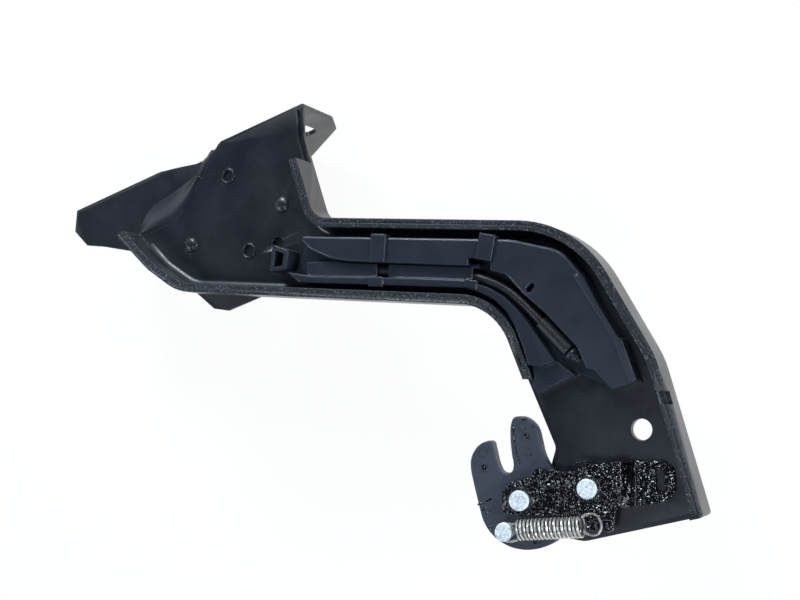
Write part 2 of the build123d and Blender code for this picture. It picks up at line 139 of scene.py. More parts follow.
# %% Patterns, colours and bumps
def surface_noise(tree, grain, detail=4.0, stretch=(1, 1, 1)):
    """Noise on the object's own coordinates, with grains of that size in metres."""
    place = add_node(tree, "ShaderNodeTexCoord")
    mapping = add_node(tree, "ShaderNodeMapping", Scale=stretch)
    noise = add_node(tree, "ShaderNodeTexNoise", Scale=1 / grain, Detail=detail, Roughness=0.6)
    tree.links.new(place.outputs["Object"], mapping.inputs["Vector"])
    tree.links.new(mapping.outputs["Vector"], noise.inputs["Vector"])
    return noise.outputs["Fac"]


def spread(tree, value, low, high, start=0.0, end=1.0):
    """Turns a value that runs from start to end into one that runs from low to high."""
    node = add_node(tree, "ShaderNodeMapRange", From_Min=start, From_Max=end, To_Min=low, To_Max=high)
    tree.links.new(value, node.inputs["Value"])
    return node.outputs["Result"]


def combine(tree, operation, first, second):
    """Two values joined by one step of arithmetic."""
    step = add_node(tree, "ShaderNodeMath", operation=operation)
    tree.links.new(first, step.inputs[0])
    tree.links.new(second, step.inputs[1])
    return step.outputs[0]


def shade(tree, value, dark, pale):
    """A colour between two, by a value from 0 to 1."""
    mix = add_node(tree, "ShaderNodeMix", data_type="RGBA")
    mix.inputs[6].default_value = (*dark, 1)
    mix.inputs[7].default_value = (*pale, 1)
    tree.links.new(value, mix.inputs["Factor"])
    return mix.outputs[2]


def raise_bumps(tree, shader, height, depth, edge=0.0):
    """Feeds a height into the shader's normal. Depth and the softness of edges are in metres."""
    bump = add_node(tree, "ShaderNodeBump", Strength=1.0, Distance=depth)
    tree.links.new(height, bump.inputs["Height"])
    if edge:
        soft_edge = add_node(tree, "ShaderNodeBevel", Radius=edge)
        tree.links.new(soft_edge.outputs["Normal"], bump.inputs["Normal"])
    tree.links.new(bump.outputs["Normal"], shader.inputs["Normal"])
    return bump


# %% [markdown]
# ## The floor
#
# The part lies on white with hardly a shadow. More light on the part would bleach its colours, so the
# floor itself glows for the camera and for mirrored rays, and stays an ordinary pale floor for all other
# light. A small share of ordinary floor is left in the mix, which keeps the part's own soft shadow.

# %% Make the floor
floor_drop = 0.0005
floor_size = 60.0
floor_white, floor_roughness = (0.93, 0.93, 0.93), 0.9
glow_share = 0.93
bpy.ops.mesh.primitive_plane_add(size=floor_size, location=(0, 0, cad_box[0][2] - floor_drop))
floor = bpy.context.object
floor.name = "floor"
floor_material, tree, shader = new_material("floor_white", floor_white, floor_roughness)
floor_glow = add_node(tree, "ShaderNodeEmission", Color=(1, 1, 1, 1), Strength=1.0)
floor_mix = add_node(tree, "ShaderNodeMixShader")
path = add_node(tree, "ShaderNodeLightPath")
seen = combine(tree, "MAXIMUM", path.outputs["Is Camera Ray"], path.outputs["Is Glossy Ray"])
seen = combine(tree, "MAXIMUM", seen, path.outputs["Is Transmission Ray"])
share = add_node(tree, "ShaderNodeMath", operation="MULTIPLY")
share.inputs[1].default_value = glow_share
tree.links.new(seen, share.inputs[0])
tree.links.new(share.outputs[0], floor_mix.inputs["Fac"])
tree.links.new(shader.outputs["BSDF"], floor_mix.inputs[1])
tree.links.new(floor_glow.outputs["Emission"], floor_mix.inputs[2])
tree.links.new(floor_mix.outputs["Shader"], tree.nodes["Material Output"].inputs["Surface"])
floor.data.materials.append(floor_material)
print("floor", floor_size, "m wide, at height", round(cad_box[0][2] - floor_drop, 4))

# %% [markdown]
# ## The room's light
#
# Black paint shows mostly what it reflects, so the room matters more than the paint's own colour. The
# walls of the room are pale, and its ceiling, which the web faces, is much darker. That keeps the web
# black and lets the upright walls pick up light. A few small lamps add the highlights on rims and heads.

# %% Light the room
wall_light = (0.72, 0.83, 1.0)
ceiling_light = (0.042, 0.056, 0.086)
walls_end, ceiling_start = 0.15, 0.75
world = bpy.data.worlds.new("room")
world.use_nodes = True
bpy.context.scene.world = world
tree = world.node_tree
place = add_node(tree, "ShaderNodeTexCoord")
parts = add_node(tree, "ShaderNodeSeparateXYZ")
tree.links.new(place.outputs["Generated"], parts.inputs["Vector"])
height = spread(tree, parts.outputs["Z"], 0.0, 1.0, start=walls_end, end=ceiling_start)
colour = shade(tree, height, wall_light, ceiling_light)
tree.links.new(colour, tree.nodes["Background"].inputs["Color"])
tree.nodes["Background"].inputs["Strength"].default_value = 1.0

# %% Hang the lamps: place, width and power of each
lamp_tint = (0.82, 0.91, 1.0)
lamps = {
    "lamp_top": ((0.10, -0.42, 0.95), 0.22, 1.5),
    "lamp_back": ((0.05, 0.62, 0.50), 0.22, 6.0),
    "lamp_left": ((-0.55, -0.10, 0.50), 0.18, 1.2),
    "lamp_right": ((0.80, -0.30, 0.30), 0.30, 4.0),
    "lamp_front": ((0.25, -0.75, 0.45), 0.12, 1.8),
    "lamp_spark": ((0.30, 0.30, 0.60), 0.06, 0.9),
}
lamp_target = Vector((0.07, -0.12, 0.02))
for name, (place, size, power) in lamps.items():
    lamp_data = bpy.data.lights.new(name, "AREA")
    lamp_data.size = size
    lamp_data.energy = power
    lamp_data.color = lamp_tint
    lamp = bpy.data.objects.new(name, lamp_data)
    lamp.location = place
    lamp.rotation_euler = (lamp_target - Vector(place)).to_track_quat("-Z", "Y").to_euler()
    bpy.context.scene.collection.objects.link(lamp)
print("lamps", len(lamps), "with", sum(power for place, size, power in lamps.values()), "W")

# %% [markdown]
# ## Dipped steel
#
# The pressed steel is dipped in black paint, which dries satin, with faint clouds and a fine orange peel.
# Where the sheet was sheared, along the tops of its walls, the paint sits rough, and pale specks are
# painted into its colour there as the glints of that rough edge, a painted highlight. A painted mask could
# say where that is, but the surface already knows: those tops face up and stand over the web, so height
# and slope make the mask.

# %% Dipped steel
edge_softness = 0.0007
sheared_level, sheared_fade = 0.0318, 0.0003
level_slope, flat_slope = 0.80, 0.86


def sheared_tops(tree):
    """1 on the sheared tops of the walls, which face up and stand over the web, and 0 elsewhere."""
    place = add_node(tree, "ShaderNodeTexCoord")
    heights = add_node(tree, "ShaderNodeSeparateXYZ")
    facing = add_node(tree, "ShaderNodeNewGeometry")
    slopes = add_node(tree, "ShaderNodeSeparateXYZ")
    tree.links.new(place.outputs["Object"], heights.inputs["Vector"])
    tree.links.new(facing.outputs["True Normal"], slopes.inputs["Vector"])
    high = spread(tree, heights.outputs["Z"], 0, 1, start=sheared_level, end=sheared_level + sheared_fade)
    level = spread(tree, slopes.outputs["Z"], 0, 1, start=level_slope, end=flat_slope)
    return combine(tree, "MULTIPLY", high, level)


def dipped_steel():
    """Satin black paint on pressed sheet: clouds in the gloss, orange peel, and rough sheared tops with
    painted glints.
    """
    cloud_size, peel_size, speck_size = 0.022, 0.0009, 0.0011
    peel_depth, tear_depth = 0.00003, 0.0009
    dark_paint, pale_paint, glint_speck_colour = (0.0045, 0.0055, 0.008), (0.009, 0.011, 0.0155), (0.10, 0.12, 0.15)
    smooth_gloss, sheared_gloss = 0.33, 0.42
    material, tree, shader = new_material(
        "dipped_steel", (0.006, 0.0075, 0.011), 0.34, Specular_IOR_Level=0.6
    )
    clouds = surface_noise(tree, cloud_size)
    peel = surface_noise(tree, peel_size, detail=2.0)
    specks = spread(tree, surface_noise(tree, speck_size, detail=3.0), 0, 1, start=0.56, end=0.68)
    sheared = sheared_tops(tree)
    rough_glint_specks = combine(tree, "MULTIPLY", specks, sheared)
    # The pale specks on the sheared tops are painted highlight: glints of the rough edge put into the
    # colour.
    glinted_paint = add_node(tree, "ShaderNodeMix", data_type="RGBA")
    glinted_paint.inputs[7].default_value = (*glint_speck_colour, 1)
    tree.links.new(rough_glint_specks, glinted_paint.inputs["Factor"])
    tree.links.new(shade(tree, clouds, dark_paint, pale_paint), glinted_paint.inputs[6])
    tree.links.new(glinted_paint.outputs[2], shader.inputs["Base Color"])
    unevenness = spread(tree, clouds, -0.05, 0.08, start=0.3, end=0.7)
    gloss = combine(tree, "ADD", unevenness, spread(tree, sheared, smooth_gloss, sheared_gloss))
    tree.links.new(gloss, shader.inputs["Roughness"])
    bump = raise_bumps(tree, shader, peel, peel_depth, edge_softness)
    tear = add_node(tree, "ShaderNodeBump", Strength=1.0, Distance=tear_depth)
    tree.links.new(rough_glint_specks, tear.inputs["Height"])
    tree.links.new(bump.outputs["Normal"], tear.inputs["Normal"])
    tree.links.new(tear.outputs["Normal"], shader.inputs["Normal"])
    return material


# %% [markdown]
# ## Wrinkled gloss paint
#
# The bracket over the claw is brushed with thick glossy paint that pulled itself together as it dried.
# Its folds are real geometry, further down. A bump lies over them here, stretched along one side, because
# the sharp glints of the smallest wrinkles would take far more faces as geometry.

# %% Wrinkled gloss paint
def wrinkled_gloss():
    """Thick gloss paint that has pulled itself into wrinkles a millimetre or two apart."""
    wrinkle_size, wrinkle_stretch, wrinkle_depth = 0.0040, (1.0, 1.7, 1.0), 0.0013
    material, tree, shader = new_material(
        "wrinkled_gloss", (0.0015, 0.0015, 0.002), 0.10, Specular_IOR_Level=0.65
    )
    wrinkles = surface_noise(tree, wrinkle_size, detail=2.0, stretch=wrinkle_stretch)
    raise_bumps(tree, shader, wrinkles, wrinkle_depth)
    return material


# %% [markdown]
# ## Moulded plastic
#
# The claw, the duct and the cable's sheath are moulded. Moulded plastic is never quite even: its colour
# drifts a little, its gloss with it, and its edges are round. The round edges come from a Bevel node,
# which softens the light on an edge and leaves the mesh alone.

# %% Moulded plastics
moulded_edge = 0.0011


def moulded_plastic(name, dark, pale, roughness):
    """Satin moulded plastic with a soft unevenness and a very fine grain."""
    cloud_size, grain_size, grain_depth = 0.015, 0.0004, 0.00002
    material, tree, shader = new_material(name, pale, roughness)
    clouds = surface_noise(tree, cloud_size)
    grain = surface_noise(tree, grain_size, detail=1.0)
    tree.links.new(shade(tree, clouds, dark, pale), shader.inputs["Base Color"])
    tree.links.new(spread(tree, clouds, roughness - 0.06, roughness + 0.08), shader.inputs["Roughness"])
    raise_bumps(tree, shader, grain, grain_depth, moulded_edge)
    return material


# %% [markdown]
# ## Zinc and bare wire
#
# The pins are zinc plated and mottled, and the spring is bare wire. A fully metallic surface would only
# mirror the dark ceiling, and dull zinc doesn't, so the metals are partly metallic and keep some colour of
# their own.

# %% Bare and plated metal
def plated_metal(name, dark, pale, roughness, grain, metallic):
    """Metal with a fine dull mottle."""
    mottle_depth = 0.00004
    material, tree, shader = new_material(name, pale, roughness, metallic=metallic)
    mottle = surface_noise(tree, grain)
    patches = spread(tree, mottle, 0, 1, start=0.36, end=0.62)
    tree.links.new(shade(tree, patches, dark, pale), shader.inputs["Base Color"])
    tree.links.new(spread(tree, mottle, roughness - 0.08, roughness + 0.12), shader.inputs["Roughness"])
    raise_bumps(tree, shader, mottle, mottle_depth)
    return material


# %% [markdown]
# ## Which piece gets which finish
#
# The solid model's record names a slot for each node. One finish is made for each slot, and every node and
# every new piece takes the finish of its slot, so that a change of colour is made in one place.

# %% Give every piece its finish
finishes = {
    "coated_steel": dipped_steel(),
    "gloss_coat": wrinkled_gloss(),
    "claw_plastic": moulded_plastic("claw_plastic", (0.022, 0.027, 0.037), (0.036, 0.044, 0.060), 0.42),
    "duct_plastic": moulded_plastic("duct_moulding", (0.011, 0.014, 0.020), (0.020, 0.0245, 0.035), 0.29),
    "zinc": plated_metal("plated_zinc", (0.46, 0.52, 0.54), (0.86, 0.90, 0.90), 0.42, 0.0011, 0.35),
    "spring_steel": plated_metal("spring_wire", (0.40, 0.38, 0.34), (0.68, 0.65, 0.60), 0.28, 0.0015, 0.75),
    "tyre_plastic": moulded_plastic("tyre_nylon", (0.70, 0.68, 0.62), (0.80, 0.78, 0.72), 0.5),
    "cable_black": moulded_plastic("cable_sheath", (0.007, 0.008, 0.010), (0.012, 0.0135, 0.017), 0.34),
}
node_slots = {part["node"]: part["material_slot"] for part in frame["record"]["subparts"]}
for name, node in nodes.items():
    node.data.materials.clear()
    node.data.materials.append(finishes[node_slots[name]])
print("finishes", [material.name for material in finishes.values()])

# %% [markdown]
# ## Places on the arm
#
# The arm was drawn flat, in millimetres, on a plane that is turned a little in the door's frame. One short
# function carries a point of that drawing, and its height over the web, to its place in metres. Measured
# places can then be typed as they were read.

# %% From the arm's drawing to its place
arm_turn = radians(17.5)
arm_start = Vector((0.085, -0.102, 0.028))


def on_arm(x, y, height):
    """A point of the arm's drawing, in millimetres, as a place in metres."""
    across = x * cos(arm_turn) + y * sin(arm_turn)
    along = y * cos(arm_turn) - x * sin(arm_turn)
    return arm_start + Vector((across, along, height)) / 1000


print("the drawing starts at", [round(v, 4) for v in on_arm(0, 0, 0)])

# %% [markdown]
# ## Helpers for modelling
#
# An operator acts on everything that is selected, and the solids are selected when they load. So each
# helper here first selects one piece alone. The last steps are the same for every piece: its place is
# applied, it gets its name, finish and body, and only its sharp corners keep a hard edge.

# %% Select a piece, change it and settle it
smooth_angle = radians(35)
weld_distance = 0.000002


def deselect():
    """Leaves nothing selected, so that an operator acts on one piece alone."""
    if bpy.context.object and bpy.context.object.mode != "OBJECT":
        bpy.ops.object.mode_set(mode="OBJECT")
    bpy.ops.object.select_all(action="DESELECT")


def take(piece):
    """Selects one piece and makes it the active one."""
    deselect()
    piece.select_set(True)
    bpy.context.view_layer.objects.active = piece


def edit(piece):
    """Opens one piece for editing with all of it selected."""
    take(piece)
    bpy.ops.object.mode_set(mode="EDIT")
    bpy.ops.mesh.select_all(action="SELECT")


def apply_modifier(piece, kind, **settings):
    """Adds a modifier, sets it and applies it."""
    take(piece)
    modifier = piece.modifiers.new(kind.lower(), kind)
    for key, value in settings.items():
        setattr(modifier, key, value)
    bpy.ops.object.modifier_apply(modifier=modifier.name)


def settle(piece, name, finish, body):
    """Applies the piece's place, and gives it its name, its finish and, if it has one, its body."""
    take(piece)
    bpy.ops.object.transform_apply(location=True, rotation=True, scale=True)
    piece.name = name
    piece.data.name = name
    piece.data.materials.clear()
    piece.data.materials.append(finishes[finish])
    if body:
        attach(piece, body)
    bpy.ops.object.shade_smooth_by_angle(angle=smooth_angle)
    apply_modifier(piece, "WEIGHTED_NORMAL", weight=100, keep_sharp=True)
    print(name, len(piece.data.polygons), "faces")


def copy_of(node_name):
    """A copy of a solid's mesh with its loose triangles joined."""
    piece = nodes[node_name].copy()
    piece.data = nodes[node_name].data.copy()
    piece.parent = None
    bpy.context.scene.collection.objects.link(piece)
    edit(piece)
    bpy.ops.mesh.remove_doubles(threshold=weld_distance)
    bpy.ops.object.mode_set(mode="OBJECT")
    return piece


# %% [markdown]
# ## The steel round the wing
#
# On the real arm the web runs into the lowered wing without a step, and no wall stands between the two.
# The solid model keeps a short stub of wall there. A boolean cut takes the stub off a copy of each sheet,
# because it leaves both sheets closed. The same kind of cut makes the round hole behind the buckle.

# %% Outlines of the two cuts
stub = [
    (-139.2, 37.8), (-131.6, 30.5), (-113.0, 36.9), (-101.7, 51.5),
    (-98.0, 60.0), (-110.0, 60.0), (-120.0, 46.0), (-140.0, 39.0),
]
stub_base, stub_rise = 0.05, 16.0
hole_middle, hole_radius, hole_steps = (-61.0, 27.7), 2.9, 32
hole_base, hole_rise = -1.95, 4.0
hole = []
for step in range(hole_steps):
    angle = 2 * pi * step / hole_steps
    hole.append((hole_middle[0] + hole_radius * cos(angle), hole_middle[1] + hole_radius * sin(angle)))


def make_cutter(points, base, rise):
    """A prism on the arm's drawing, pulled up from an outline."""
    deselect()
    bpy.ops.mesh.primitive_plane_add(size=1)
    cutter = bpy.context.object
    mesh = bmesh.new()
    mesh.faces.new([mesh.verts.new(on_arm(x, y, base)) for x, y in points])
    mesh.to_mesh(cutter.data)
    mesh.free()
    edit(cutter)
    bpy.ops.mesh.extrude_region_move(TRANSFORM_OT_translate={"value": (0, 0, rise / 1000)})
    bpy.ops.mesh.select_all(action="SELECT")
    bpy.ops.mesh.normals_make_consistent(inside=False)
    bpy.ops.object.mode_set(mode="OBJECT")
    return cutter


# %% Cut both sheets
cutter = make_cutter(stub, stub_base, stub_rise)
punch = make_cutter(hole, hole_base, hole_rise)
for name in ("arm_channel", "door_bracket"):
    sheet = copy_of(name)
    apply_modifier(sheet, "BOOLEAN", object=cutter, operation="DIFFERENCE", solver="EXACT")
    if name == "arm_channel":
        apply_modifier(sheet, "BOOLEAN", object=punch, operation="DIFFERENCE", solver="EXACT")
    settle(sheet, name + "_sheet", "coated_steel", "arm")
    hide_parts(name)
for tool in (cutter, punch):
    take(tool)
    bpy.ops.object.delete()

# %% [markdown]
# ## The blend from web to wing
#
# A step of a few millimetres is left where the stub stood, and the real sheet is drawn smoothly over it.
# Bevelling the step would need clean edges on both sheets. A strip laid over it is simpler: its
# cross-section is stepped off sideways from a line, narrowed at both ends, subdivided and thickened.

# %% Lay the blend from web to wing
# Points of the line, each with the share of its full width that the strip has there.
blend_line = [
    (-139.5, 33.5, 0.25),
    (-134.0, 36.2, 0.75),
    (-126.0, 39.0, 1.0),
    (-118.5, 42.0, 1.0),
    (-113.0, 46.5, 0.95),
    (-108.8, 52.5, 0.75),
    (-106.2, 58.0, 0.50),
    (-104.4, 62.0, 0.30),
]
# Steps of the cross-section: the distance to the side, and the height over the web.
blend_steps = [
    (-8.5, -0.35), (-4.5, 0.0), (0.4, 0.06), (2.2, -0.2), (4.2, -0.9),
    (6.6, -2.1), (9.2, -3.3), (12.0, -4.1), (15.0, -4.9),
]
blend_thickness = 0.0006


def lay_strip(line, steps):
    """A strip whose cross-section is stepped off sideways from a line."""
    mesh = bmesh.new()
    rows = []
    for index, (x, y, share) in enumerate(line):
        before, after = line[max(index - 1, 0)], line[min(index + 1, len(line) - 1)]
        run = Vector((after[0] - before[0], after[1] - before[1])).normalized()
        out = Vector((-run.y, run.x))
        row = []
        for sideways, height in steps:
            place = on_arm(x + out.x * sideways * share, y + out.y * sideways * share, height)
            row.append(mesh.verts.new(place))
        rows.append(row)
    for first, second in zip(rows, rows[1:]):
        for a, b, c, d in zip(first, first[1:], second[1:], second):
            mesh.faces.new((a, d, c, b))
    return mesh


deselect()
bpy.ops.mesh.primitive_grid_add(size=0.01)
wing_blend = bpy.context.object
strip = lay_strip(blend_line, blend_steps)
strip.to_mesh(wing_blend.data)
strip.free()
apply_modifier(wing_blend, "SUBSURF", levels=2, render_levels=2)
apply_modifier(wing_blend, "SOLIDIFY", thickness=blend_thickness, offset=-1.0)
settle(wing_blend, "wing_blend", "coated_steel", "arm")

# %% [markdown]
# ## Clinch marks
#
# The two sheets are joined by round clinches: a punch pushes one sheet into the other and leaves a button
# on one side and a cup on the other. A button is the cap of a sphere. A cup is a low ring round a hollow.
# Each is modelled once, flattened in edit mode, and copied to its other place.

# %% Helpers that flatten and repeat
def flatten(piece, share):
    """Squashes a piece in height to a share of what it was."""
    edit(piece)
    bpy.ops.transform.resize(value=(1, 1, share))
    bpy.ops.object.mode_set(mode="OBJECT")


def repeat(pattern, places):
    """The pattern at the first place, and a copy with its own mesh at each other place."""
    pieces = [pattern]
    for place in places[1:]:
        twin = pattern.copy()
        twin.data = pattern.data.copy()
        bpy.context.scene.collection.objects.link(twin)
        pieces.append(twin)
    for piece, place in zip(pieces, places):
        piece.location = place
    bpy.context.view_layer.update()
    return pieces


# %% Press the clinch marks
buttons = [(-58.9, 45.2), (-107.7, 29.4)]
cups = [(-87.7, 60.5), (-76.0, 25.0)]
mark_radius = 3.7
button_sink, button_share = 0.5, 0.52
cup_ring, cup_share = 0.6, 0.9

deselect()
bpy.ops.mesh.primitive_uv_sphere_add(segments=48, ring_count=24, radius=mark_radius / 1000)
button = bpy.context.object
flatten(button, button_share)
button_places = [on_arm(*place, -button_sink) for place in buttons]
for number, mark in enumerate(repeat(button, button_places)):
    settle(mark, f"clinch_button_{number + 1}", "coated_steel", "arm")

deselect()
bpy.ops.mesh.primitive_torus_add(
    major_radius=(mark_radius - cup_ring) / 1000,
    minor_radius=cup_ring / 1000,
    major_segments=48,
    minor_segments=12,
)
cup = bpy.context.object
flatten(cup, cup_share)
for number, mark in enumerate(repeat(cup, [on_arm(*place, 0.0) for place in cups])):
    settle(mark, f"clinch_cup_{number + 1}", "coated_steel", "arm")

# %% [markdown]
# ## The cable's end
#
# The sleeve on the cable ends in a collar that drops into a slot of the foot. It is a turned moulding, so
# a cylinder is inset and drawn out at one end, and lies along the cable.

# %% Open the top of a piece
def open_top(piece):
    """Opens one piece for editing with only its upper face selected."""
    edit(piece)
    bpy.ops.mesh.select_all(action="DESELECT")
    mesh = bmesh.from_edit_mesh(piece.data)
    for face in mesh.faces:
        face.select_set(face.normal.z > 0.9)
    bmesh.update_edit_mesh(piece.data)


# %% Turn the collar
sleeve_box, ferrule_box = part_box("cable_sleeve"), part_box("cable_ferrule")
ferrule_middle = (Vector(ferrule_box[0]) + Vector(ferrule_box[1])) / 2
sleeve_middle = (Vector(sleeve_box[0]) + Vector(sleeve_box[1])) / 2
cable_way = (ferrule_middle - sleeve_middle).normalized()
collar_radius, collar_length = 0.0033, 0.0016
collar_lip, nose_length, nose_edge = 0.0012, 0.0022, 0.0003
collar_set_back, collar_round = 0.0012, 0.0002

deselect()
bpy.ops.mesh.primitive_cylinder_add(vertices=48, radius=collar_radius, depth=collar_length)
collar = bpy.context.object
open_top(collar)
bpy.ops.mesh.inset(thickness=collar_lip)
bpy.ops.mesh.extrude_region_move(TRANSFORM_OT_translate={"value": (0, 0, nose_length)})
bpy.ops.mesh.inset(thickness=nose_edge)
bpy.ops.object.mode_set(mode="OBJECT")
collar.rotation_euler = cable_way.to_track_quat("Z", "Y").to_euler()
collar.location = ferrule_middle - cable_way * collar_set_back
apply_modifier(collar, "BEVEL", width=collar_round, segments=2)
settle(collar, "cable_collar", "duct_plastic", "arm")
print("ferrule", [[round(v, 4) for v in corner] for corner in ferrule_box], "way", cable_way)

# %% [markdown]
# ## The claw
#
# The claw is moulded round a steel core. A moulding has no sharp edges, and its outline runs in smooth
# curves. The solid's outline has short straight runs, which a bevel would only copy. So the outline is
# drawn again as a closed Bezier curve. The curve itself gives it a thickness and a rounded rim, and it is
# then turned into a mesh.

# %% Turn a curve into a mesh
def made_mesh(name, curve):
    """Puts a curve in the scene and turns it into a mesh."""
    drawn = bpy.data.objects.new(name, curve)
    bpy.context.scene.collection.objects.link(drawn)
    take(drawn)
    bpy.ops.object.convert(target="MESH")
    return bpy.context.object


# %% Draw the claw and give it thickness
claw_outline = [
    (43.6, -59.6), (44.6, -62.3), (46.4, -69.0), (48.0, -71.7), (49.9, -72.3), (51.9, -72.0),
    (52.9, -70.5), (52.3, -64.0), (51.8, -57.9), (52.2, -52.2), (53.4, -50.0), (55.8, -49.4),
    (58.4, -49.9), (61.4, -52.0), (63.1, -54.4), (64.3, -58.7), (65.7, -64.3), (68.2, -69.1),
    (71.0, -72.3), (73.4, -77.8), (74.2, -85.0), (73.4, -92.4), (71.6, -97.4), (67.7, -100.2),
    (61.1, -102.3), (54.8, -102.4), (48.5, -100.5), (43.5, -96.9), (40.1, -92.1), (38.4, -86.9),
    (37.1, -81.9), (35.6, -75.9), (34.6, -71.0), (34.7, -67.0), (36.1, -63.7), (38.3, -61.2),
    (41.0, -59.8),
]
claw_back, claw_face = 1.0, 6.0
claw_rim = 0.5
seam_distance = 0.00001


def closed_curve(name, outline, back, front, rim):
    """A flat closed curve through points of the arm's drawing, given a thickness and a rounded rim."""
    curve = bpy.data.curves.new(name, "CURVE")
    curve.dimensions = "2D"
    curve.fill_mode = "BOTH"
    curve.extrude = ((front - back) / 2 - rim) / 1000
    curve.bevel_depth = rim / 1000
    curve.bevel_resolution = 3
    curve.offset = -rim / 1000
    curve.resolution_u = 6
    spline = curve.splines.new("BEZIER")
    spline.bezier_points.add(len(outline) - 1)
    for point, (x, y) in zip(spline.bezier_points, outline):
        place = on_arm(x, y, 0)
        point.co = (place.x, place.y, 0)
        point.handle_left_type = "AUTO"
        point.handle_right_type = "AUTO"
    spline.use_cyclic_u = True
    piece = made_mesh(name, curve)
    piece.location = (0, 0, arm_start.z + (back + front) / 2000)
    edit(piece)
    bpy.ops.mesh.remove_doubles(threshold=seam_distance)
    bpy.ops.mesh.normals_make_consistent(inside=False)
    bpy.ops.object.mode_set(mode="OBJECT")
    return piece


claw = closed_curve("claw_curve", claw_outline, claw_back, claw_face, claw_rim)
settle(claw, "claw_moulding", "claw_plastic", "claw")
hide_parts("claw_jacket", "claw_plate")

# %% [markdown]
# ## Push-out marks
#
# A moulding carries small round marks where the mould's pins pushed it out. Each is a thin low ring. The
# rings differ in size but not in the thickness of their line, so each is its own torus rather than a
# scaled copy, and all are joined into one piece.

# %% Join pieces into one
def join_all(pieces):
    """Applies the pieces' places and joins them into one."""
    deselect()
    for piece in pieces:
        piece.select_set(True)
    bpy.context.view_layer.objects.active = pieces[0]
    bpy.ops.object.transform_apply(location=True, rotation=True, scale=True)
    bpy.ops.object.join()
    return bpy.context.object


# %% Push-out marks on the claw
push_marks = [
    ((56.9, -53.3), 1.6),
    ((58.6, -57.3), 1.75),
    ((59.4, -63.6), 1.5),
    ((40.1, -64.2), 1.7),
    ((40.5, -70.3), 1.75),
]
ring_radius, ring_share = 0.00030, 0.55
rings = []
for place, radius in push_marks:
    deselect()
    bpy.ops.mesh.primitive_torus_add(
        location=on_arm(*place, claw_face),
        major_radius=radius / 1000,
        minor_radius=ring_radius,
        major_segments=32,
        minor_segments=8,
    )
    rings.append(bpy.context.object)
    flatten(rings[-1], ring_share)
settle(join_all(rings), "claw_push_marks", "claw_plastic", "claw")

# %% [markdown]
# ## The groove's painted shade and the paint on the claw
#
# A fine groove runs down one finger of the claw, and the shade in it reads as a dark line. That shade is
# painted: a thin tube of black gloss paint half sunk in the face, drawn as a smooth curve. The bracket's
# paint has also run onto the claw in smears. The smears are flat drops, each a copy of one sphere with its
# own length, width and turn, and displaced so that their borders wander.

# %% Wires and rough surfaces
def wire_through(name, places, radius, steps):
    """A round wire on a smooth curve that follows places of the arm's drawing, as a mesh."""
    curve = bpy.data.curves.new(name, "CURVE")
    curve.dimensions = "3D"
    curve.bevel_depth = radius / 1000
    curve.bevel_resolution = 2
    curve.use_fill_caps = True
    spline = curve.splines.new("NURBS")
    spline.points.add(len(places) - 1)
    for point, place in zip(spline.points, places):
        point.co = (*on_arm(*place), 1)
    spline.order_u = 3
    spline.use_endpoint_u = True
    spline.resolution_u = steps
    return made_mesh(name, curve)


def roughen(piece, name, size, strength, middle=0.5, coordinates="LOCAL"):
    """Moves a mesh in and out by a pattern of clouds. The folds' size and height are in metres."""
    relief = bpy.data.textures.new(name, "CLOUDS")
    relief.noise_scale = size
    relief.noise_depth = 2
    apply_modifier(
        piece, "DISPLACE", texture=relief, strength=strength, mid_level=middle, texture_coords=coordinates
    )


# %% Draw the groove's painted shade
# The dark line is painted shade: the groove's shade drawn as a half-sunk tube of black gloss paint.
groove_shade_places = [(53.4, -52.3, 6.0), (53.1, -57.5, 6.0), (54.2, -62.8, 6.0), (55.9, -68.4, 6.0)]
groove_shade_radius, drawn_steps = 0.28, 12
groove_shade = wire_through("groove_shade_curve", groove_shade_places, groove_shade_radius, drawn_steps)
settle(groove_shade, "claw_groove_painted_shade", "gloss_coat", "claw")

# %% Paint that ran onto the claw
# Place, half length, half width and turn in degrees of each smear.
smears = [
    (38.9, -84.9, 1.6, 0.5, 20),
    (42.4, -83.3, 1.9, 0.5, 25),
    (40.3, -87.1, 1.3, 0.4, 40),
    (42.1, -88.4, 1.2, 0.35, 35),
    (40.6, -91.0, 1.0, 0.4, 60),
    (43.0, -94.6, 1.1, 0.5, 75),
    (57.8, -50.7, 1.2, 0.45, -10),
    (61.4, -53.6, 0.9, 0.5, -45),
    (58.6, -57.3, 1.2, 1.2, 0),
    (40.5, -70.3, 1.1, 1.1, 0),
    (62.8, -99.3, 2.0, 0.6, 10),
    (65.6, -97.8, 1.6, 0.5, 25),
]
smear_height = 0.22
smear_fold, smear_relief = 0.0012, 0.0003
deselect()
bpy.ops.mesh.primitive_uv_sphere_add(segments=24, ring_count=12, radius=0.001)
drops = repeat(bpy.context.object, [on_arm(x, y, claw_face) for x, y, *_ in smears])
for drop, (x, y, length, width, turn) in zip(drops, smears):
    drop.scale = (length, width, smear_height)
    drop.rotation_euler = (0, 0, radians(turn) - arm_turn)
paint_smears = join_all(drops)
roughen(paint_smears, "smear_edges", smear_fold, smear_relief)
settle(paint_smears, "claw_paint_smears", "gloss_coat", "claw")

# %% [markdown]
# ## The wrinkled bracket
#
# The bracket over the claw was painted so thickly that the coat pulled itself into ridges. Bumps alone
# wouldn't change its outline, so a copy is rebuilt as a fine even mesh and really displaced, twice: once
# for the broad folds and once for the small ones.

# %% Wrinkle the bracket
voxel_size = 0.00028
paint_middle = 0.45
bracket = copy_of("latch_bracket")
apply_modifier(bracket, "REMESH", mode="VOXEL", voxel_size=voxel_size)
apply_modifier(bracket, "SMOOTH", factor=0.5, iterations=3)
for name, size, depth in (("folds", 0.0052, 0.0013), ("wrinkles", 0.0024, 0.0005)):
    roughen(bracket, name, size, depth, middle=paint_middle)
settle(bracket, "latch_bracket_painted", "gloss_coat", "arm")
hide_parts("latch_bracket")

